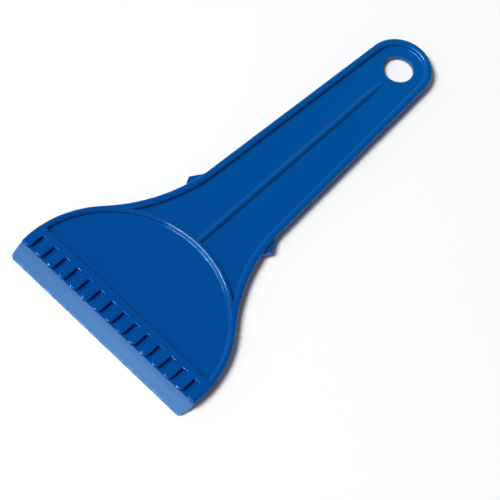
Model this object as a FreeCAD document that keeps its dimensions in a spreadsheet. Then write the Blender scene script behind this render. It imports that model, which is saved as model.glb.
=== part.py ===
import FreeCAD, Part
import math
import os

import Sketcher
from FreeCAD import Vector

# Windshield ice scraper, two pieces, millimetres.
# It lies on its back: +Z up, +X across the head, +Y from the cutting edge to the hang hole.
# Sketches measure y from the cutting edge; both pieces are then moved back by half the length.

doc = FreeCAD.newDocument("IceScraper")

# lengths below this count as nothing when edges are sorted
TINY = 1e-4

# ---------------------------------------------------------------- driving dimensions
SIZES = {
    # overall outline
    "total_length": 210.0,
    "head_radius": 50.0,
    "head_centre": 12.2,
    "neck_radius": 82.0,
    "neck_centre": 95.1,
    "end_radius": 15.5,
    # thickness
    "body_height": 5.0,
    "floor_level": 2.9,
    "back_recess": 0.9,
    # raised rim and arch; the walls of the front recesses lean back by wall_draft degrees
    "head_rim": 2.5,
    "handle_rim": 3.0,
    "arch_width": 1.9,
    "wall_draft": 10.0,
    # the rim of the back recesses is wider and upright
    "back_rim": 3.6,
    # stiffening rib: a soft ridge that fades out towards the hang hole
    "rib_height": 1.5,
    "rib_crown": 1.2,
    "rib_foot": 1.0,
    "rib_sink": 0.03,
    "rib_end": 183.0,
    "rib_fade": 9.0,
    "rib_tail": 0.2,
    # hang hole
    "hole_radius": 7.0,
    # ice-breaking teeth
    "teeth_tip": 7.1,
    "slot_end": 14.9,
    "slot_width": 3.0,
    "slot_corner": 0.6,
    "slot_pitch": 6.76,
    "slot_count": 14,
    "nose_round": 1.7,
    "tray_start": 18.6,
    "back_tray_start": 27.4,
    # side catches
    "catch_start": 76.8,
    "catch_tip": 81.5,
    "catch_reach": 24.7,
    "catch_foot": 22.3,
    "catch_root": 20.9,
    "catch_end": 88.0,
    "catch_base": 0.6,
    "catch_height": 3.6,
    "catch_round": 0.9,
    # blade insert
    "bevel_width": 7.4,
    "edge_thickness": 0.6,
    "corner_radius": 2.0,
    "tongue_end": 24.0,
    "tongue_half": 44.0,
    "tongue_thickness": 1.7,
    # posts of the body that key the blade insert
    "post_radius": 2.0,
    "post_pitch": 17.0,
    "post_count": 5,
    "post_line": 17.0,
    # rounding
    "top_round": 1.0,
    "back_round": 0.7,
    "floor_round": 0.6,
    "back_floor_round": 0.5,
    "back_rim_round": 0.3,
    "back_corner": 0.6,
    "small_round": 0.3,
    # moulding marks
    "mark_radius": 2.6,
    "mark_depth": 0.12,
    "mark_neck_x": 15.2,
    "mark_neck_y": 71.8,
    "mark_head_x": 39.0,
    "mark_head_y": 29.6,
    # how far a cutting or joining outline reaches past the face that it works on
    "overrun": 1.0,
}

sheet = doc.addObject("Spreadsheet::Sheet", "Sizes")
for row, (alias, value) in enumerate(SIZES.items(), start=1):
    sheet.set(f"A{row}", alias)
    sheet.set(f"B{row}", f"{value:g}")
    sheet.setAlias(f"B{row}", alias)
doc.recompute()


def size(alias):
    return float(sheet.get(alias))


def size_of(expression):
    """Value of a spreadsheet expression, such as "Sizes.end_radius / 2"."""
    return float(sheet.evalExpression(expression))


# ---------------------------------------------------------------- shared plan geometry
HEAD = Vector(0, size("head_centre"), 0)
HANG = Vector(0, size("total_length") - size("end_radius"), 0)
HEAD_R = size("head_radius")
NECK_R = size("neck_radius")

neck_dy = size("neck_centre") - size("head_centre")
NECK = Vector(math.sqrt((HEAD_R + NECK_R) ** 2 - neck_dy ** 2), size("neck_centre"), 0)


def on_circle(radius, y):
    """Right-hand point of a circle round the head centre at height y."""
    return Vector(math.sqrt(radius ** 2 - (y - HEAD.y) ** 2), y, 0)


def mirrored(point):
    return Vector(-point.x, point.y, 0)


def handle_tangent(neck_r, end_r):
    """Points where the straight handle side touches the neck arc and the end arc."""
    span = NECK - HANG
    lean = math.atan2(span.y, span.x) + math.acos((neck_r + end_r) / span.Length)
    normal = Vector(math.cos(lean), math.sin(lean), 0)
    return NECK - normal * neck_r, HANG + normal * end_r


def circles_meet(head_r, neck_r):
    """Point nearest the centre line where a head circle crosses a neck circle."""
    span = NECK - HEAD
    along = (span.Length ** 2 + head_r ** 2 - neck_r ** 2) / (2 * span.Length)
    across = math.sqrt(max(head_r ** 2 - along ** 2, 0.0))
    unit = span * (1 / span.Length)
    return HEAD + unit * along + Vector(-unit.y, unit.x, 0) * across


# ---------------------------------------------------------------- feature helpers
def new_sketch(body, name, role="XY_Plane", height=None):
    """Sketch on one of the body's origin planes, lifted to a spreadsheet level if asked."""
    plane = next(f for f in body.Origin.OriginFeatures if f.Role == role)
    sketch = body.newObject("Sketcher::SketchObject", name)
    sketch.AttachmentSupport = [(plane, "")]
    sketch.MapMode = "FlatFace"
    if height:
        sketch.setExpression("AttachmentOffset.Base.z", height)
    doc.recompute()
    return sketch


def fix(sketch, kind, *where, to, name):
    """Add a named dimension to a sketch and bind it to a spreadsheet expression."""
    index = sketch.addConstraint(Sketcher.Constraint(kind, *where, size_of(to)))
    sketch.renameConstraint(index, name)
    sketch.setExpression(f".Constraints.{name}", to)


def feature(body, kind, name, profile, depth=None, draft=None, **settings):
    """Pad or pocket a sketch to a spreadsheet depth and make sure it changed the solid."""
    before = body.Tip.Shape.Volume if body.Tip and not body.Tip.Shape.isNull() else 0.0
    item = body.newObject("PartDesign::" + kind, name)
    item.Profile = profile
    for key, value in settings.items():
        setattr(item, key, value)
    if depth:
        item.setExpression("Length", depth)
    if draft:
        item.setExpression("TaperAngle", draft)
    doc.recompute()
    change = item.Shape.Volume - before
    if (change > 0) != (kind == "Pad"):
        raise RuntimeError(f"{name} changed the volume by {change:.3f}")
    return item


def repeat(body, name, cut, pitch, count):
    """Repeat a cut along the X direction of its own sketch."""
    row = body.newObject("PartDesign::LinearPattern", name)
    row.Originals = [cut]
    row.Direction = (cut.Profile[0], ["H_Axis"])
    row.setExpression("Length", f"{pitch} * ({count} - 1)")
    row.setExpression("Occurrences", count)
    body.Tip = row
    doc.recompute()


def round_edges(body, name, radius, keep):
    """Fillet every edge of the current solid that the test keeps."""
    tip = body.Tip
    chosen = [f"Edge{i + 1}" for i, edge in enumerate(tip.Shape.Edges) if keep(edge)]
    item = body.newObject("PartDesign::Fillet", name)
    item.Base = (tip, chosen)
    item.setExpression("Radius", radius)
    doc.recompute()
    if item.Shape.isNull() or not item.Shape.isValid():
        raise RuntimeError(f"{name} failed on {len(chosen)} edges")


def middle(edge):
    return edge.valueAt((edge.FirstParameter + edge.LastParameter) / 2)


def at_level(edge, z):
    return all(abs(v.Z - z) < TINY for v in edge.Vertexes) and abs(middle(edge).z - z) < TINY


def is_upright(edge):
    ends = [v.Point for v in edge.Vertexes]
    return len(ends) == 2 and (ends[0] - ends[1]).cross(Vector(0, 0, 1)).Length < TINY


def meets_wall(shape, edge):
    """True where an edge bounds an upright face (and is not the lip of a rounding)."""
    point = middle(edge)
    normals = [f.normalAt(*f.Surface.parameter(point)) for f in shape.ancestorsOfType(edge, Part.Face)]
    return any(abs(normal.z) < TINY for normal in normals)


def chain(sketch, pieces, smooth=()):
    """Add ("line", a, b) and ("ccw" or "cw", centre, a, b) pieces as one closed loop.

    Arcs are given in walking order; a clockwise arc is stored with its ends swapped.
    Joins whose first piece is listed in smooth are tangent, the others only meet.
    """
    ids, starts, ends = [], [], []
    for piece in pieces:
        if piece[0] == "line":
            ids.append(sketch.addGeometry(Part.LineSegment(piece[1], piece[2])))
            starts.append(1)
            ends.append(2)
            continue
        turn, centre, a, b = piece
        radius = (a - centre).Length
        first = math.atan2(a.y - centre.y, a.x - centre.x)
        last = math.atan2(b.y - centre.y, b.x - centre.x)
        circle = Part.Circle(centre, Vector(0, 0, 1), radius)
        if turn == "ccw":
            ids.append(sketch.addGeometry(Part.ArcOfCircle(circle, first, last)))
            starts.append(1)
            ends.append(2)
        else:
            ids.append(sketch.addGeometry(Part.ArcOfCircle(circle, last, first)))
            starts.append(2)
            ends.append(1)
    for k in range(len(ids)):
        n = (k + 1) % len(ids)
        kind = "Tangent" if k in smooth else "Coincident"
        sketch.addConstraint(Sketcher.Constraint(kind, ids[k], ends[k], ids[n], starts[n]))
    return ids


def rectangle(sketch, left, right, bottom, top, name):
    """Axis-aligned rectangle whose four sides are given by spreadsheet expressions."""
    x0, x1, y0, y1 = (size_of(side) for side in (left, right, bottom, top))
    corners = [Vector(x0, y0, 0), Vector(x1, y0, 0), Vector(x1, y1, 0), Vector(x0, y1, 0)]
    ids = chain(sketch, [("line", corners[k], corners[(k + 1) % 4]) for k in range(4)])
    for side, direction in zip(ids, ("Horizontal", "Vertical") * 2):
        sketch.addConstraint(Sketcher.Constraint(direction, side))
    fix(sketch, "DistanceX", -1, 1, ids[0], 1, to=left, name=name + "_left")
    fix(sketch, "DistanceX", -1, 1, ids[0], 2, to=right, name=name + "_right")
    fix(sketch, "DistanceY", -1, 1, ids[0], 1, to=bottom, name=name + "_bottom")
    fix(sketch, "DistanceY", -1, 1, ids[2], 1, to=top, name=name + "_top")


def disc(sketch, x, y, radius, name):
    """Circle whose centre and radius are given by spreadsheet expressions."""
    circle = Part.Circle(Vector(size_of(x), size_of(y), 0), Vector(0, 0, 1), size_of(radius))
    index = sketch.addGeometry(circle)
    centre_on(sketch, index, x, y, name)
    fix(sketch, "Radius", index, to=radius, name=name + "_radius")


def centre_on(sketch, arc, x, y, name):
    """Tie an arc centre to a point given by spreadsheet expressions."""
    if x == "0":
        sketch.addConstraint(Sketcher.Constraint("PointOnObject", arc, 3, -2))
    else:
        fix(sketch, "DistanceX", -1, 1, arc, 3, to=x, name=name + "_x")
    fix(sketch, "DistanceY", -1, 1, arc, 3, to=y, name=name + "_y")


NECK_REACH = "(Sizes.head_radius + Sizes.neck_radius)"
NECK_RISE = "(Sizes.neck_centre - Sizes.head_centre)"
NECK_X = f"sqrt({NECK_REACH}^2 - {NECK_RISE}^2)"
END_Y = "Sizes.total_length - Sizes.end_radius"
ARCH_OUTER = "Sizes.head_radius - Sizes.head_rim + Sizes.arch_width"
ARCH_MIDDLE = "Sizes.head_centre + Sizes.head_radius - Sizes.head_rim + Sizes.arch_width / 2"


# ---------------------------------------------------------------- body moulding
body = doc.addObject("PartDesign::Body", "ScraperBody")
body.Label = "scraper_body"


def outline_sketch():
    """Full plan outline: teeth line, head circle, neck arcs, tapered handle, round end."""
    sketch = new_sketch(body, "Outline")
    front = on_circle(HEAD_R, size("teeth_tip"))
    head_neck = HEAD + (NECK - HEAD) * (HEAD_R / (HEAD_R + NECK_R))
    neck_end, end_start = handle_tangent(NECK_R, size("end_radius"))
    ids = chain(sketch, [
        ("line", mirrored(front), front),
        ("ccw", HEAD, front, head_neck),
        ("cw", NECK, head_neck, neck_end),
        ("line", neck_end, end_start),
        ("ccw", HANG, end_start, mirrored(end_start)),
        ("line", mirrored(end_start), mirrored(neck_end)),
        ("cw", mirrored(NECK), mirrored(neck_end), mirrored(head_neck)),
        ("ccw", HEAD, mirrored(head_neck), mirrored(front)),
    ], smooth=range(1, 7))
    teeth, head, neck, _, end, _, neck_left, head_left = ids
    sketch.addConstraint(Sketcher.Constraint("Horizontal", teeth))
    fix(sketch, "DistanceY", -1, 1, teeth, 2, to="Sizes.teeth_tip", name="teeth_line")
    for arc, name in ((head, "head"), (head_left, "head_left")):
        centre_on(sketch, arc, "0", "Sizes.head_centre", name)
        fix(sketch, "Radius", arc, to="Sizes.head_radius", name=name + "_radius")
    centre_on(sketch, end, "0", END_Y, "end")
    fix(sketch, "Radius", end, to="Sizes.end_radius", name="end_arc")
    for arc, name in ((neck, "neck"), (neck_left, "neck_left")):
        fix(sketch, "DistanceY", -1, 1, arc, 3, to="Sizes.neck_centre", name=name + "_y")
        fix(sketch, "Radius", arc, to="Sizes.neck_radius", name=name + "_arc")
    return sketch


def tray_sketch(name, rim, start, height=None):
    """Half-moon tray of the head: a circle segment closed by a straight side."""
    sketch = new_sketch(body, name, height=height)
    corner = on_circle(HEAD_R - size(rim), size(start))
    side, arc = chain(sketch, [
        ("line", mirrored(corner), corner),
        ("ccw", HEAD, corner, mirrored(corner)),
    ])
    sketch.addConstraint(Sketcher.Constraint("Horizontal", side))
    fix(sketch, "DistanceY", -1, 1, side, 2, to=f"Sizes.{start}", name="straight_side")
    centre_on(sketch, arc, "0", "Sizes.head_centre", "arc")
    fix(sketch, "Radius", arc, to=f"Sizes.head_radius - Sizes.{rim}", name="arc_radius")
    return sketch


def panel_sketch(name, rim, height=None):
    """Long panel of the neck and handle: an even rim inside the outline, closed by the arch."""
    neck_r = NECK_R + size(rim)
    end_r = size("end_radius") - size(rim)
    corner = circles_meet(size_of(ARCH_OUTER), neck_r)
    neck_end, end_start = handle_tangent(neck_r, end_r)
    sketch = new_sketch(body, name, height=height)
    ids = chain(sketch, [
        ("cw", HEAD, mirrored(corner), corner),
        ("cw", NECK, corner, neck_end),
        ("line", neck_end, end_start),
        ("ccw", HANG, end_start, mirrored(end_start)),
        ("line", mirrored(end_start), mirrored(neck_end)),
        ("cw", mirrored(NECK), mirrored(neck_end), mirrored(corner)),
    ], smooth=range(1, 5))
    arch, neck, _, end, _, neck_left = ids
    centre_on(sketch, arch, "0", "Sizes.head_centre", "arch")
    fix(sketch, "Radius", arch, to=ARCH_OUTER, name="arch_radius")
    centre_on(sketch, end, "0", END_Y, "end")
    fix(sketch, "Radius", end, to=f"Sizes.end_radius - Sizes.{rim}", name="end_arc")
    centre_on(sketch, neck, NECK_X, "Sizes.neck_centre", "neck")
    centre_on(sketch, neck_left, "-" + NECK_X, "Sizes.neck_centre", "neck_left")
    for arc, label in ((neck, "neck_arc"), (neck_left, "neck_arc_left")):
        fix(sketch, "Radius", arc, to=f"Sizes.neck_radius + Sizes.{rim}", name=label)
    return sketch


TOP = size("body_height")
FLOOR = size("floor_level")
BACK_FLOOR = size("back_recess")
FRONT = size("teeth_tip")

feature(body, "Pad", "Blank", outline_sketch(), "Sizes.body_height")

# recesses of the front, with leaning walls and softly rounded floors and rims
DEPTH = "Sizes.body_height - Sizes.floor_level"
DRAFT = "-Sizes.wall_draft"
tray = tray_sketch("HeadTray", "head_rim", "tray_start", "Sizes.body_height")
feature(body, "Pocket", "HeadTrayCut", tray, DEPTH, DRAFT)
panel = panel_sketch("HandlePanel", "handle_rim", "Sizes.body_height")
feature(body, "Pocket", "HandlePanelCut", panel, DEPTH, DRAFT)
round_edges(body, "FloorRound", "Sizes.floor_round", lambda edge: at_level(edge, FLOOR))


def rim_edge(edge):
    """Every top edge but the straight one that the teeth are cut from."""
    return at_level(edge, TOP) and middle(edge).y > FRONT + TINY


round_edges(body, "TopRound", "Sizes.top_round", rim_edge)

# recesses of the back, shallower and upright; the head one stops behind the blade insert
round_edges(
    body, "OuterBackRound", "Sizes.back_round",
    lambda edge: at_level(edge, 0) and middle(edge).y > FRONT + TINY,
)
back_tray = tray_sketch("BackTray", "back_rim", "back_tray_start")
feature(body, "Pocket", "BackTrayCut", back_tray, "Sizes.back_recess", Reversed=True)
back_panel = panel_sketch("BackPanel", "back_rim")
feature(body, "Pocket", "BackPanelCut", back_panel, "Sizes.back_recess", Reversed=True)


def back_corner(edge):
    """Upright corners of the back recesses; those of the handle's round end are smooth joins."""
    return is_upright(edge) and abs(edge.Length - BACK_FLOOR) < TINY and middle(edge).y < HEAD_TOP


HEAD_TOP = HEAD.y + HEAD_R
round_edges(body, "BackCorners", "Sizes.back_corner", back_corner)
round_edges(body, "BackFloorRound", "Sizes.back_floor_round", lambda edge: at_level(edge, BACK_FLOOR))
round_edges(
    body, "BackRimRound", "Sizes.back_rim_round",
    lambda edge: at_level(edge, 0) and meets_wall(body.Tip.Shape, edge) and middle(edge).y > FRONT + TINY,
)


def ridge_section(name, y, height):
    """Cross-section of the rib: a rounded crown that runs down into the floor on both sides."""
    sketch = new_sketch(body, name, role="XZ_Plane", height=f"-({y})")
    base = FLOOR - size("rib_sink")
    low = base - size("rib_sink")
    crown = size("rib_crown")
    foot = size("rib_foot")
    top = size_of(height)
    span = crown + foot
    reach = math.sqrt(span ** 2 - (span - top) ** 2)
    share = crown / span
    hub = Vector(0, base + top - crown, 0)
    feet = {side: Vector(side * reach, base + foot, 0) for side in (1, -1)}
    joins = {side: hub + (feet[side] - hub) * share for side in (1, -1)}
    ids = chain(sketch, [
        ("line", Vector(-reach, low, 0), Vector(reach, low, 0)),
        ("line", Vector(reach, low, 0), Vector(reach, base, 0)),
        ("cw", feet[1], Vector(reach, base, 0), joins[1]),
        ("ccw", hub, joins[1], joins[-1]),
        ("cw", feet[-1], joins[-1], Vector(-reach, base, 0)),
        ("line", Vector(-reach, base, 0), Vector(-reach, low, 0)),
    ], smooth=(2, 3))
    under, right, foot_right, ridge, foot_left, left = ids
    sketch.addConstraint(Sketcher.Constraint("Horizontal", under))
    fix(sketch, "DistanceY", -1, 1, under, 1, to="Sizes.floor_level - 2 * Sizes.rib_sink", name="under")
    sketch.addConstraint(Sketcher.Constraint("Vertical", right))
    sketch.addConstraint(Sketcher.Constraint("Vertical", left))
    level = "Sizes.floor_level - Sizes.rib_sink"
    centre_on(sketch, ridge, "0", f"{level} + {height} - Sizes.rib_crown", "ridge")
    fix(sketch, "Radius", ridge, to="Sizes.rib_crown", name="crown")
    # a clockwise arc is stored with its ends swapped: on the right its far end is the foot
    for arc, end, label in ((foot_right, 2, "right"), (foot_left, 1, "left")):
        fix(sketch, "DistanceY", -1, 1, arc, 3, to=f"{level} + Sizes.rib_foot", name="hub_" + label)
        fix(sketch, "Radius", arc, to="Sizes.rib_foot", name="foot_" + label)
        sketch.addConstraint(Sketcher.Constraint("Vertical", arc, end, arc, 3))
    return sketch


# stiffening rib down the middle of the neck and handle
rib = body.newObject("PartDesign::AdditiveLoft", "Rib")
rib.Profile = ridge_section("RibRoot", ARCH_MIDDLE, "Sizes.rib_height")
rib.Sections = [
    ridge_section("RibShoulder", "Sizes.rib_end - Sizes.rib_fade", "Sizes.rib_height"),
    ridge_section("RibTail", "Sizes.rib_end", "Sizes.rib_tail"),
]
rib.Ruled = True
doc.recompute()

# seat for the blade insert: the strip in front of the body and the pocket for its tongue
seat = new_sketch(body, "BladeSeat")
rectangle(
    seat, "-Sizes.head_radius", "Sizes.head_radius", "-Sizes.overrun", "Sizes.bevel_width", "seat",
)
feature(body, "Pocket", "BladeSeatCut", seat, "Sizes.floor_level", Reversed=True)


def post_expressions():
    """Centre expressions of the keying posts, spread evenly about the centre line."""
    count = int(size("post_count"))
    return [f"Sizes.post_pitch * {k - (count - 1) / 2}" for k in range(count)]


tongue_seat = new_sketch(body, "TongueSeat")
rectangle(
    tongue_seat, "-Sizes.tongue_half", "Sizes.tongue_half", "Sizes.bevel_width - Sizes.overrun",
    "Sizes.tongue_end", "tongue",
)
for k, x in enumerate(post_expressions()):
    disc(tongue_seat, x, "Sizes.post_line", "Sizes.post_radius", f"post_{k}")
feature(body, "Pocket", "TongueSeatCut", tongue_seat, "Sizes.tongue_thickness", Reversed=True)

# row of slots between the ice-breaking teeth, open towards the blade
FIRST_SLOT = "-Sizes.slot_pitch * (Sizes.slot_count - 1) / 2"
LEFT_NOSE = f"{FIRST_SLOT} - Sizes.slot_width / 2 - Sizes.nose_round"
RIGHT_NOSE = f"{FIRST_SLOT} + Sizes.slot_width / 2 + Sizes.nose_round"


def slot_sketch():
    """One slot whose mouth flares out round the noses of the two teeth beside it."""
    sketch = new_sketch(body, "Slot", height="Sizes.body_height")
    centre = size_of(FIRST_SLOT)
    wall = size("slot_width") / 2
    nose = wall + size("nose_round")
    inner = wall - size("slot_corner")
    mouth_y = FRONT - size("overrun")
    nose_y = FRONT + size("nose_round")
    end_y = size("slot_end")
    corner_y = end_y - size("slot_corner")

    def at(x, y):
        return Vector(centre + x, y, 0)

    ids = chain(sketch, [
        ("line", at(-nose, mouth_y), at(nose, mouth_y)),
        ("line", at(nose, mouth_y), at(nose, FRONT)),
        ("cw", at(nose, nose_y), at(nose, FRONT), at(wall, nose_y)),
        ("line", at(wall, nose_y), at(wall, corner_y)),
        ("ccw", at(inner, corner_y), at(wall, corner_y), at(inner, end_y)),
        ("line", at(inner, end_y), at(-inner, end_y)),
        ("ccw", at(-inner, corner_y), at(-inner, end_y), at(-wall, corner_y)),
        ("line", at(-wall, corner_y), at(-wall, nose_y)),
        ("cw", at(-nose, nose_y), at(-wall, nose_y), at(-nose, FRONT)),
        ("line", at(-nose, FRONT), at(-nose, mouth_y)),
    ], smooth=range(2, 8))
    mouth, _, nose_right, right, corner_right, end, corner_left, left, nose_left, _ = ids
    for side in (mouth, end):
        sketch.addConstraint(Sketcher.Constraint("Horizontal", side))
    for side in (right, left):
        sketch.addConstraint(Sketcher.Constraint("Vertical", side))
    fix(sketch, "DistanceX", -1, 1, mouth, 1, to=LEFT_NOSE, name="mouth_left")
    fix(sketch, "DistanceX", -1, 1, mouth, 2, to=RIGHT_NOSE, name="mouth_right")
    fix(sketch, "DistanceY", -1, 1, mouth, 1, to="Sizes.teeth_tip - Sizes.overrun", name="mouth_y")
    nose_line = "Sizes.teeth_tip + Sizes.nose_round"
    centre_on(sketch, nose_right, RIGHT_NOSE, nose_line, "nose_right")
    centre_on(sketch, nose_left, LEFT_NOSE, nose_line, "nose_left")
    for arc, tip, label in ((nose_right, 2, "right"), (nose_left, 1, "left")):
        fix(sketch, "Radius", arc, to="Sizes.nose_round", name="nose_" + label)
        sketch.addConstraint(Sketcher.Constraint("Vertical", arc, tip, arc, 3))
    fix(sketch, "DistanceY", -1, 1, end, 1, to="Sizes.slot_end", name="end_y")
    for arc, label in ((corner_right, "right"), (corner_left, "left")):
        fix(sketch, "Radius", arc, to="Sizes.slot_corner", name="corner_" + label)
    return sketch


slot_cut = feature(body, "Pocket", "SlotCut", slot_sketch(), DEPTH)
repeat(body, "SlotRow", slot_cut, "Sizes.slot_pitch", "Sizes.slot_count")


def tooth_edge(edge):
    """Top edges of the teeth and of the bar behind them."""
    return at_level(edge, TOP) and meets_wall(body.Tip.Shape, edge)


round_edges(body, "ToothRound", "Sizes.small_round", tooth_edge)

# side catches that stop a hand cover from sliding off
CATCH_CORNERS = (
    ("Sizes.catch_foot", "Sizes.catch_start"),
    ("Sizes.catch_reach", "Sizes.catch_tip"),
    ("Sizes.catch_root", "Sizes.catch_end"),
    ("(Sizes.catch_root - Sizes.overrun)", "Sizes.catch_end"),
    ("(Sizes.catch_root - Sizes.overrun)", "Sizes.catch_start"),
)
catches = new_sketch(body, "Catches", height="Sizes.catch_base")
for side, sign, label in ((1, "", "right"), (-1, "-", "left")):
    corners = [Vector(side * size_of(x), size_of(y), 0) for x, y in CATCH_CORNERS]
    following = corners[1:] + corners[:1]
    ids = chain(catches, [("line", a, b) for a, b in zip(corners, following)])
    for k, (x, y) in enumerate(CATCH_CORNERS):
        fix(catches, "DistanceX", -1, 1, ids[k], 1, to=sign + x, name=f"{label}_x{k}")
        fix(catches, "DistanceY", -1, 1, ids[k], 1, to=y, name=f"{label}_y{k}")
feature(body, "Pad", "CatchPad", catches, "Sizes.catch_height - Sizes.catch_base")
round_edges(
    body, "CatchTips", "Sizes.catch_round",
    lambda edge: is_upright(edge) and abs(abs(middle(edge).x) - size("catch_reach")) < TINY,
)

# hang hole through the web, with softened edges
hang = new_sketch(body, "HangHole", height="Sizes.body_height")
disc(hang, "0", END_Y, "Sizes.hole_radius", "hole")
feature(body, "Pocket", "HangHoleCut", hang, Type="ThroughAll")


def hole_edge(edge):
    point = middle(edge)
    from_centre = math.hypot(point.x - HANG.x, point.y - HANG.y)
    return abs(from_centre - size("hole_radius")) < TINY and not is_upright(edge)


round_edges(body, "HoleRound", "Sizes.small_round", hole_edge)

# small round marks left by the mould on the recess floors
marks = new_sketch(body, "MouldMarks", height="Sizes.floor_level")
for place in ("neck", "head"):
    x, y = f"Sizes.mark_{place}_x", f"Sizes.mark_{place}_y"
    disc(marks, x, y, "Sizes.mark_radius", place)
    disc(marks, "-" + x, y, "Sizes.mark_radius", place + "_left")
feature(body, "Pocket", "MouldMarkCut", marks, "Sizes.mark_depth")

# ---------------------------------------------------------------- blade insert
blade = doc.addObject("PartDesign::Body", "BladeInsert")
blade.Label = "blade_insert"


def strip_sketch():
    """Plan of the scraping strip: it carries the head circle on down to the cutting edge."""
    sketch = new_sketch(blade, "Strip")
    corner = size("corner_radius")
    top = on_circle(HEAD_R, size("bevel_width"))
    # the small corner circle touches the cutting edge and the inside of the head circle
    round_x = math.sqrt((HEAD_R - corner) ** 2 - (corner - HEAD.y) ** 2)
    round_centre = Vector(round_x, corner, 0)
    outward = round_centre - HEAD
    touch = HEAD + outward * (HEAD_R / outward.Length)
    foot = Vector(round_x, 0, 0)
    ids = chain(sketch, [
        ("line", mirrored(foot), foot),
        ("ccw", round_centre, foot, touch),
        ("ccw", HEAD, touch, top),
        ("line", top, mirrored(top)),
        ("ccw", HEAD, mirrored(top), mirrored(touch)),
        ("ccw", mirrored(round_centre), mirrored(touch), mirrored(foot)),
    ], smooth=(0, 1, 4, 5))
    edge, corner_right, head_right, back, head_left, corner_left = ids
    sketch.addConstraint(Sketcher.Constraint("Horizontal", edge))
    sketch.addConstraint(Sketcher.Constraint("PointOnObject", edge, 1, -1))
    sketch.addConstraint(Sketcher.Constraint("Horizontal", back))
    fix(sketch, "DistanceY", -1, 1, back, 1, to="Sizes.bevel_width", name="back")
    for arc, label in ((head_right, "head_right"), (head_left, "head_left")):
        centre_on(sketch, arc, "0", "Sizes.head_centre", label)
        fix(sketch, "Radius", arc, to="Sizes.head_radius", name=label + "_radius")
    for arc, label in ((corner_right, "corner_right"), (corner_left, "corner_left")):
        fix(sketch, "Radius", arc, to="Sizes.corner_radius", name=label)
    return sketch


feature(blade, "Pad", "StripPad", strip_sketch(), "Sizes.floor_level")

# bevel: the top slopes down to a thin cutting edge; the cut runs past it at the same slope
SLOPE = "(Sizes.floor_level - Sizes.edge_thickness) / Sizes.bevel_width"
LOW_Z = f"Sizes.edge_thickness - Sizes.overrun * {SLOPE}"
CLEAR_Z = "Sizes.floor_level + Sizes.overrun"
bevel = new_sketch(blade, "Bevel", role="YZ_Plane")
low = Vector(-size("overrun"), size_of(LOW_Z), 0)
high = Vector(size("bevel_width"), FLOOR, 0)
clear_z = size_of(CLEAR_Z)
slant, back_side, over, front_side = chain(bevel, [
    ("line", low, high),
    ("line", high, Vector(high.x, clear_z, 0)),
    ("line", Vector(high.x, clear_z, 0), Vector(low.x, clear_z, 0)),
    ("line", Vector(low.x, clear_z, 0), low),
])
bevel.addConstraint(Sketcher.Constraint("Vertical", back_side))
bevel.addConstraint(Sketcher.Constraint("Horizontal", over))
bevel.addConstraint(Sketcher.Constraint("Vertical", front_side))
fix(bevel, "DistanceX", -1, 1, slant, 1, to="-Sizes.overrun", name="low_x")
fix(bevel, "DistanceY", -1, 1, slant, 1, to=LOW_Z, name="low_y")
fix(bevel, "DistanceX", -1, 1, slant, 2, to="Sizes.bevel_width", name="high_x")
fix(bevel, "DistanceY", -1, 1, slant, 2, to="Sizes.floor_level", name="high_y")
fix(bevel, "DistanceY", -1, 1, over, 1, to=CLEAR_Z, name="clear")
feature(blade, "Pocket", "BevelCut", bevel, "4 * Sizes.head_radius", Midplane=True)

# tongue held inside the head, with a hole for each keying post
tongue = new_sketch(blade, "Tongue")
rectangle(
    tongue, "-Sizes.tongue_half", "Sizes.tongue_half", "Sizes.bevel_width - Sizes.overrun",
    "Sizes.tongue_end", "tongue",
)
feature(blade, "Pad", "TonguePad", tongue, "Sizes.tongue_thickness")
post = new_sketch(blade, "PostHole")
disc(post, post_expressions()[0], "Sizes.post_line", "Sizes.post_radius", "hole")
post_cut = feature(blade, "Pocket", "PostHoleCut", post, "Sizes.tongue_thickness", Reversed=True)
repeat(blade, "PostHoleRow", post_cut, "Sizes.post_pitch", "Sizes.post_count")

# ---------------------------------------------------------------- placement, checks, export
for piece in (body, blade):
    piece.setExpression("Placement.Base.y", "-Sizes.total_length / 2")
doc.recompute()

for item in doc.Objects:
    if "Invalid" in item.State or "Error" in item.State:
        raise RuntimeError(f"{item.Name} is {item.State}")
for piece in (body, blade):
    shape = piece.Shape
    if shape.isNull() or not shape.isValid() or len(shape.Solids) != 1:
        raise RuntimeError(f"{piece.Label} has a bad shape")
if body.Shape.common(blade.Shape).Volume > TINY:
    raise RuntimeError("the blade insert and the body overlap")

os.makedirs("parts", exist_ok=True)
for piece in (body, blade):
    piece.Shape.exportStep(f"parts/{piece.Label}.step")
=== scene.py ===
import math

import bpy
from mathutils import Euler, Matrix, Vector


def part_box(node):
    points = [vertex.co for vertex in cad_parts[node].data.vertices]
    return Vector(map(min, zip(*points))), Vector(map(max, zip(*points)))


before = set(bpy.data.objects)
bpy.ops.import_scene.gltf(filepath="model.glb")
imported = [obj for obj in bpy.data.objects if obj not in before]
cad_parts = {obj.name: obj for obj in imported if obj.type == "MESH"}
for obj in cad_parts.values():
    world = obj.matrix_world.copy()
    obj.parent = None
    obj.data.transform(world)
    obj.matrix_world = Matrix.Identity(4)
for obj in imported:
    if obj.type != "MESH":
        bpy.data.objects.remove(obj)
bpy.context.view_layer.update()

# Windshield ice scraper: two dressed pieces on a pale floor, metres, in the frame of the CAD.
body_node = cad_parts["scraper_body"]
blade_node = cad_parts["blade_insert"]
blade_low, blade_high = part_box("blade_insert")
EDGE_Y = blade_low[1]
LEFT_X = blade_low[0]
HEAD_Y = blade_high[1]
HANG_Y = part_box("scraper_body")[1][1]

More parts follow.
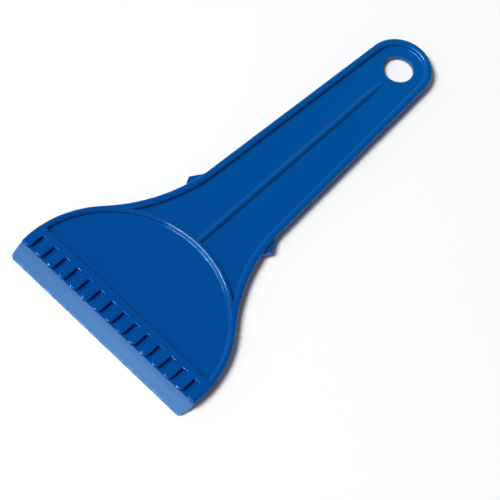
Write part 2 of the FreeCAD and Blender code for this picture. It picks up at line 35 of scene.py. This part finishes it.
# ---------------------------------------------------------------- camera
# it looks down over the right end of the blade, from about three quarters of a metre
AIM = Vector((0.01661, -0.02801, 0.0))
DISTANCE = 0.7342
AZIMUTH = math.radians(25.77)
ELEVATION = math.radians(60.80)
ROLL = math.radians(19.50)
LENS_MM = 124.6
SENSOR_MM = 36.0
CLIP_NEAR = 0.01
CLIP_FAR = 20.0


def place_camera():
    data = bpy.data.cameras.new("camera")
    data.lens = LENS_MM
    data.sensor_width = SENSOR_MM
    data.clip_start = CLIP_NEAR
    data.clip_end = CLIP_FAR
    camera = bpy.data.objects.new("camera", data)
    bpy.context.scene.collection.objects.link(camera)
    flat = math.cos(ELEVATION)
    back = Vector((flat * math.sin(AZIMUTH), -flat * math.cos(AZIMUTH), math.sin(ELEVATION)))
    camera.location = AIM + back * DISTANCE
    level = Euler((math.pi / 2 - ELEVATION, 0, AZIMUTH)).to_matrix()
    camera.rotation_euler = (level @ Euler((0, 0, ROLL)).to_matrix()).to_euler()
    bpy.context.scene.camera = camera


place_camera()
bpy.context.scene.view_settings.view_transform = "Standard"


# ---------------------------------------------------------------- material helpers
# the Mix node has one set of sockets for each data type; these are its colour ones
MIX_FIRST = 6
MIX_SECOND = 7
MIX_RESULT = 2


class Nodes:
    """A material and short calls that add nodes to it."""

    def __init__(self, name):
        self.material = bpy.data.materials.new(name)
        self.material.use_nodes = True
        self.tree = self.material.node_tree
        self.tree.nodes.clear()
        out = self.tree.nodes.new("ShaderNodeOutputMaterial")
        self.shader = self.tree.nodes.new("ShaderNodeBsdfPrincipled")
        self.link(self.shader.outputs["BSDF"], out.inputs["Surface"])
        self.place = self.add("TexCoord").outputs["Object"]

    def link(self, source, target):
        self.tree.links.new(source, target)

    def add(self, kind, **settings):
        """New node; each setting is one of its properties or, with _ for a space, one of its sockets."""
        node = self.tree.nodes.new("ShaderNode" + kind)
        for key, value in settings.items():
            if hasattr(node, key):
                setattr(node, key, value)
            else:
                node.inputs[key.replace("_", " ")].default_value = value
        return node

    def noise(self, scale, detail=2.0, stretch=(1, 1, 1), turn=0.0):
        """Noise over the piece, in features per metre, stretched and turned about Z if asked."""
        mapping = self.add("Mapping", Scale=stretch, Rotation=(0, 0, turn))
        self.link(self.place, mapping.inputs["Vector"])
        node = self.add("TexNoise", Scale=scale, Detail=detail)
        self.link(mapping.outputs["Vector"], node.inputs["Vector"])
        return node.outputs["Fac"]

    def remap(self, value, low, high, to_low=0.0, to_high=1.0):
        """Carry low..high over to to_low..to_high and hold the value at the ends."""
        node = self.add("MapRange", clamp=True)
        node.inputs["From Min"].default_value = low
        node.inputs["From Max"].default_value = high
        node.inputs["To Min"].default_value = to_low
        node.inputs["To Max"].default_value = to_high
        self.link(value, node.inputs["Value"])
        return node.outputs["Result"]

    def math(self, operation, a, b):
        node = self.add("Math", operation=operation)
        for socket, value in zip(node.inputs, (a, b)):
            if isinstance(value, (int, float)):
                socket.default_value = value
            else:
                self.link(value, socket)
        return node.outputs["Value"]

    def mix(self, share, a, b):
        """Blend two colours, each a socket or an RGBA tuple."""
        node = self.add("Mix", data_type="RGBA")
        self.link(share, node.inputs["Factor"])
        for socket, value in ((node.inputs[MIX_FIRST], a), (node.inputs[MIX_SECOND], b)):
            if isinstance(value, tuple):
                socket.default_value = value
            else:
                self.link(value, socket)
        return node.outputs[MIX_RESULT]

    def axis(self, name):
        split = self.add("SeparateXYZ")
        self.link(self.place, split.inputs["Vector"])
        return split.outputs[name]


def srgb(r, g, b):
    """Linear RGBA of a colour given in 0 to 255 display levels."""
    def linear(c):
        c /= 255.0
        return c / 12.92 if c <= 0.04045 else ((c + 0.055) / 1.055) ** 2.4
    return (linear(r), linear(g), linear(b), 1.0)


def grey(level):
    return (level, level, level, 1.0)


# ---------------------------------------------------------------- plastic
# tones of the body: at the head, at the hang hole, and where it drifts, is specked or is scratched
HEAD_BLUE = srgb(0, 72, 148)
HANG_BLUE = srgb(0, 84, 157)
DRIFT_BLUE = srgb(0, 79, 154)
SPECK_BLUE = srgb(0, 64, 134)
BODY_SCRATCH = srgb(52, 124, 196)

# tones of the blade: from the cutting edge to the teeth, at its left end, and where it is worn or
# scratched; the tone at the teeth is darkened with painted shade
EDGE_TONE = srgb(66, 122, 181)
MIDDLE_TONE = srgb(82, 124, 182)
# painted shade: the blade is drawn darker beside the teeth, where they shade it
TEETH_TONE_AND_SHADE = srgb(57, 103, 160)
LEFT_TONE = srgb(50, 98, 158)
WORN_TONE = srgb(120, 168, 218)
BLADE_SCRATCH = srgb(140, 175, 220)

# how fine each pattern is, in features per metre
DRIFT_SCALE = 26.0
SPECK_SCALE = 900.0
CLOUD_SCALE = 110.0
WEAR_SCALE = 500.0
PATCH_SCALE = 45.0
GRAIN_SCALE = 2200.0
WAVE_SCALE = 60.0
# the clouds on the blade are long in X
CLOUD_STRETCH = (0.35, 1.0, 1.0)
# two families of hairlines: features per metre, stretch, turn
HAIRLINES = (
    (260.0, (1.0, 14.0, 1.0), 0.5),
    (310.0, (12.0, 1.0, 1.0), 0.25),
)

# the stretch of a noise's values over which its pattern goes from nothing to full
DRIFT_RANGE = (0.3, 0.7)
SPECK_RANGE = (0.66, 0.8)
CLOUD_RANGE = (0.35, 0.65)
WEAR_RANGE = (0.4, 0.6)
PATCH_RANGE = (0.5, 0.68)
HAIR_RANGE = (0.68, 0.76)
GRAIN_RANGE = (0.3, 0.7)

# the largest share of its own tone that each pattern gives
DRIFT_SHARE = 0.35
SPECK_SHARE = 0.35
CLOUD_SHARE = 0.45
LEFT_SHARE = 0.6
WEAR_SHARE = 0.7
SCRATCH_SHARE = 0.5

# relief and gloss
GRAIN_HEIGHT = 0.25
WAVE_HEIGHT = 0.7
BUMP_STRENGTH = 0.35
SKIN_DEPTH = {"body": 0.00005, "blade": 0.00006}
ROUGHNESS = {"body": 0.13, "blade": 0.22}
SMOOTHER = 0.02
ROUGHER = 0.04
SCUFF_ROUGHNESS = 0.25
REFLECTION = {"body": 0.45, "blade": 0.4}
# reflections take on the pigment's blue instead of staying white
BLUE_REFLECTION = (0.35, 0.72, 1.0, 1.0)

# the blade's tones change from the cutting edge over this width, and its wear hugs the edge
BEVEL_WIDTH = 0.008
WEAR_WIDTH = 0.0011
# the blade darkens from just right of its middle to its left end
DARK_FROM_X = 0.01


def scratches(n, amount):
    """Hairline scuffs in two directions, 0 where there are none, up to amount."""
    total = None
    for scale, stretch, turn in HAIRLINES:
        hair = n.remap(n.noise(scale, 3.0, stretch, turn), *HAIR_RANGE)
        patch = n.remap(n.noise(PATCH_SCALE), *PATCH_RANGE)
        lines = n.math("MULTIPLY", hair, patch)
        total = lines if total is None else n.math("MAXIMUM", total, lines)
    return n.math("MULTIPLY", total, amount)


def moulded_skin(n, piece):
    """Fine moulded grain with long soft waves: it sets the bump, the gloss and its small changes."""
    grain = n.noise(GRAIN_SCALE, detail=3.0)
    grain_height = n.math("MULTIPLY", grain, GRAIN_HEIGHT)
    wave_height = n.math("MULTIPLY", n.noise(WAVE_SCALE), WAVE_HEIGHT)
    bump = n.add("Bump", Strength=BUMP_STRENGTH, Distance=SKIN_DEPTH[piece])
    n.link(n.math("ADD", grain_height, wave_height), bump.inputs["Height"])
    n.link(bump.outputs["Normal"], n.shader.inputs["Normal"])
    roughness = ROUGHNESS[piece]
    sheen = n.remap(grain, *GRAIN_RANGE, roughness - SMOOTHER, roughness + ROUGHER)
    n.link(n.math("ADD", sheen, scratches(n, SCUFF_ROUGHNESS)), n.shader.inputs["Roughness"])
    n.shader.inputs["Specular IOR Level"].default_value = REFLECTION[piece]
    n.shader.inputs["Specular Tint"].default_value = BLUE_REFLECTION


def body_plastic():
    n = Nodes("body_plastic")
    # the blue is a little greener and lighter towards the hang hole
    colour = n.mix(n.remap(n.axis("Y"), HEAD_Y, HANG_Y), HEAD_BLUE, HANG_BLUE)
    drift = n.remap(n.noise(DRIFT_SCALE, detail=3.0), *DRIFT_RANGE, 0.0, DRIFT_SHARE)
    colour = n.mix(drift, colour, DRIFT_BLUE)
    speck = n.remap(n.noise(SPECK_SCALE), *SPECK_RANGE, 0.0, SPECK_SHARE)
    colour = n.mix(speck, colour, SPECK_BLUE)
    colour = n.mix(scratches(n, SCRATCH_SHARE), colour, BODY_SCRATCH)
    n.link(colour, n.shader.inputs["Base Color"])
    moulded_skin(n, "body")
    return n.material


def bevel_tones(n):
    """Three tones from the cutting edge to the teeth, the last one darkened with painted shade next to the
    teeth.
    """
    ramp = n.add("ValToRGB")
    edge, teeth = ramp.color_ramp.elements
    edge.position = 0.0
    edge.color = EDGE_TONE
    # the stop at the teeth carries painted shade
    teeth.position = 1.0
    teeth.color = TEETH_TONE_AND_SHADE
    middle = ramp.color_ramp.elements.new(0.5)
    middle.color = MIDDLE_TONE
    n.link(n.remap(n.axis("Y"), EDGE_Y, EDGE_Y + BEVEL_WIDTH), ramp.inputs["Fac"])
    return ramp.outputs["Color"]


def blade_plastic():
    n = Nodes("blade_plastic")
    clouds = n.noise(CLOUD_SCALE, detail=4.0, stretch=CLOUD_STRETCH)
    cloud = n.remap(clouds, *CLOUD_RANGE, 0.0, CLOUD_SHARE)
    colour = n.mix(cloud, bevel_tones(n), MIDDLE_TONE)
    leftward = n.remap(n.axis("X"), DARK_FROM_X, LEFT_X, 0.0, LEFT_SHARE)
    colour = n.mix(leftward, colour, LEFT_TONE)
    near_edge = n.remap(n.axis("Y"), EDGE_Y + WEAR_WIDTH, EDGE_Y)
    worn = n.remap(n.noise(WEAR_SCALE, detail=3.0), *WEAR_RANGE, 0.0, WEAR_SHARE)
    colour = n.mix(n.math("MULTIPLY", near_edge, worn), colour, WORN_TONE)
    colour = n.mix(scratches(n, SCRATCH_SHARE), colour, BLADE_SCRATCH)
    n.link(colour, n.shader.inputs["Base Color"])
    moulded_skin(n, "blade")
    return n.material


def dress(node, material):
    for slot in node.material_slots:
        slot.material = material


dress(body_node, body_plastic())
dress(blade_node, blade_plastic())

# ---------------------------------------------------------------- floor and light
FLOOR_REACH = 3.0
FLOOR_GAP = 0.0002
FLOOR_ROUGHNESS = 0.9
FLOOR_SCALE = 3.0
FLOOR_TONES = (grey(0.94), grey(0.95))

LIGHT_DISTANCE = 4.8
KEY_DIRECTION = (-0.34, -0.42, 0.84)
KEY_SIDE = 1.8
KEY_POWER = 247.0
STRIP_DIRECTION = (-0.30, -0.62, 0.72)
STRIP_LONG = 4.2
STRIP_HIGH = 0.3
STRIP_POWER = 720.0

# strength of the surroundings at the horizon and overhead
HORIZON = 0.7
CEILING = 0.06
# they fade between these two heights, each the sine of an angle above the horizon
WALL_TOP = 0.3
CEILING_FROM = 0.75
# share of that strength on the key's side and on the side facing it
LIT_SIDE = 1.0
FAR_SIDE = 0.4


def lay_floor():
    r = FLOOR_REACH
    mesh = bpy.data.meshes.new("floor")
    mesh.from_pydata([(-r, -r, 0), (r, -r, 0), (r, r, 0), (-r, r, 0)], [], [(0, 1, 2, 3)])
    floor = bpy.data.objects.new("floor", mesh)
    bpy.context.scene.collection.objects.link(floor)
    floor.location.z = -FLOOR_GAP
    n = Nodes("floor")
    tone = n.remap(n.noise(FLOOR_SCALE), *DRIFT_RANGE)
    n.link(n.mix(tone, *FLOOR_TONES), n.shader.inputs["Base Color"])
    n.shader.inputs["Roughness"].default_value = FLOOR_ROUGHNESS
    floor.data.materials.append(n.material)


def panel_light(name, towards, wide, high, power):
    """Rectangular light that faces the origin, its long side level."""
    data = bpy.data.lights.new(name, "AREA")
    data.shape = "RECTANGLE"
    data.size = wide
    data.size_y = high
    data.energy = power
    lamp = bpy.data.objects.new(name, data)
    bpy.context.scene.collection.objects.link(lamp)
    direction = Vector(towards).normalized()
    lamp.location = direction * LIGHT_DISTANCE
    lamp.rotation_euler = direction.to_track_quat("Z", "Y").to_euler()
    return lamp


def studio_world():
    """Pale walls, brightest behind the key light, and a dark ceiling over the level faces."""
    world = bpy.data.worlds.new("studio")
    world.use_nodes = True
    tree = world.node_tree

    def node(kind, **inputs):
        new = tree.nodes.new("ShaderNode" + kind)
        for key, value in inputs.items():
            new.inputs[key.replace("_", " ")].default_value = value
        return new

    where = node("TexCoord").outputs["Generated"]
    split = node("SeparateXYZ")
    tree.links.new(where, split.inputs["Vector"])
    fade = node("MapRange", From_Min=WALL_TOP, From_Max=CEILING_FROM, To_Min=HORIZON, To_Max=CEILING)
    fade.interpolation_type = "SMOOTHSTEP"
    tree.links.new(split.outputs["Z"], fade.inputs["Value"])
    facing = node("VectorMath")
    facing.operation = "DOT_PRODUCT"
    tree.links.new(where, facing.inputs[0])
    facing.inputs[1].default_value = Vector((KEY_DIRECTION[0], KEY_DIRECTION[1], 0)).normalized()
    side = node("MapRange", From_Min=-1.0, From_Max=1.0, To_Min=FAR_SIDE, To_Max=LIT_SIDE)
    tree.links.new(facing.outputs["Value"], side.inputs["Value"])
    strength = node("Math")
    strength.operation = "MULTIPLY"
    tree.links.new(fade.outputs["Result"], strength.inputs[0])
    tree.links.new(side.outputs["Result"], strength.inputs[1])
    background = tree.nodes["Background"]
    tree.links.new(strength.outputs["Value"], background.inputs["Strength"])
    background.inputs["Color"].default_value = grey(1.0)
    bpy.context.scene.world = world


lay_floor()
# the broad key lights the surfaces and the narrow strip draws the glints
key = panel_light("key", KEY_DIRECTION, KEY_SIDE, KEY_SIDE, KEY_POWER)
key.visible_glossy = False
strip = panel_light("strip", STRIP_DIRECTION, STRIP_LONG, STRIP_HIGH, STRIP_POWER)
strip.visible_diffuse = False
studio_world()
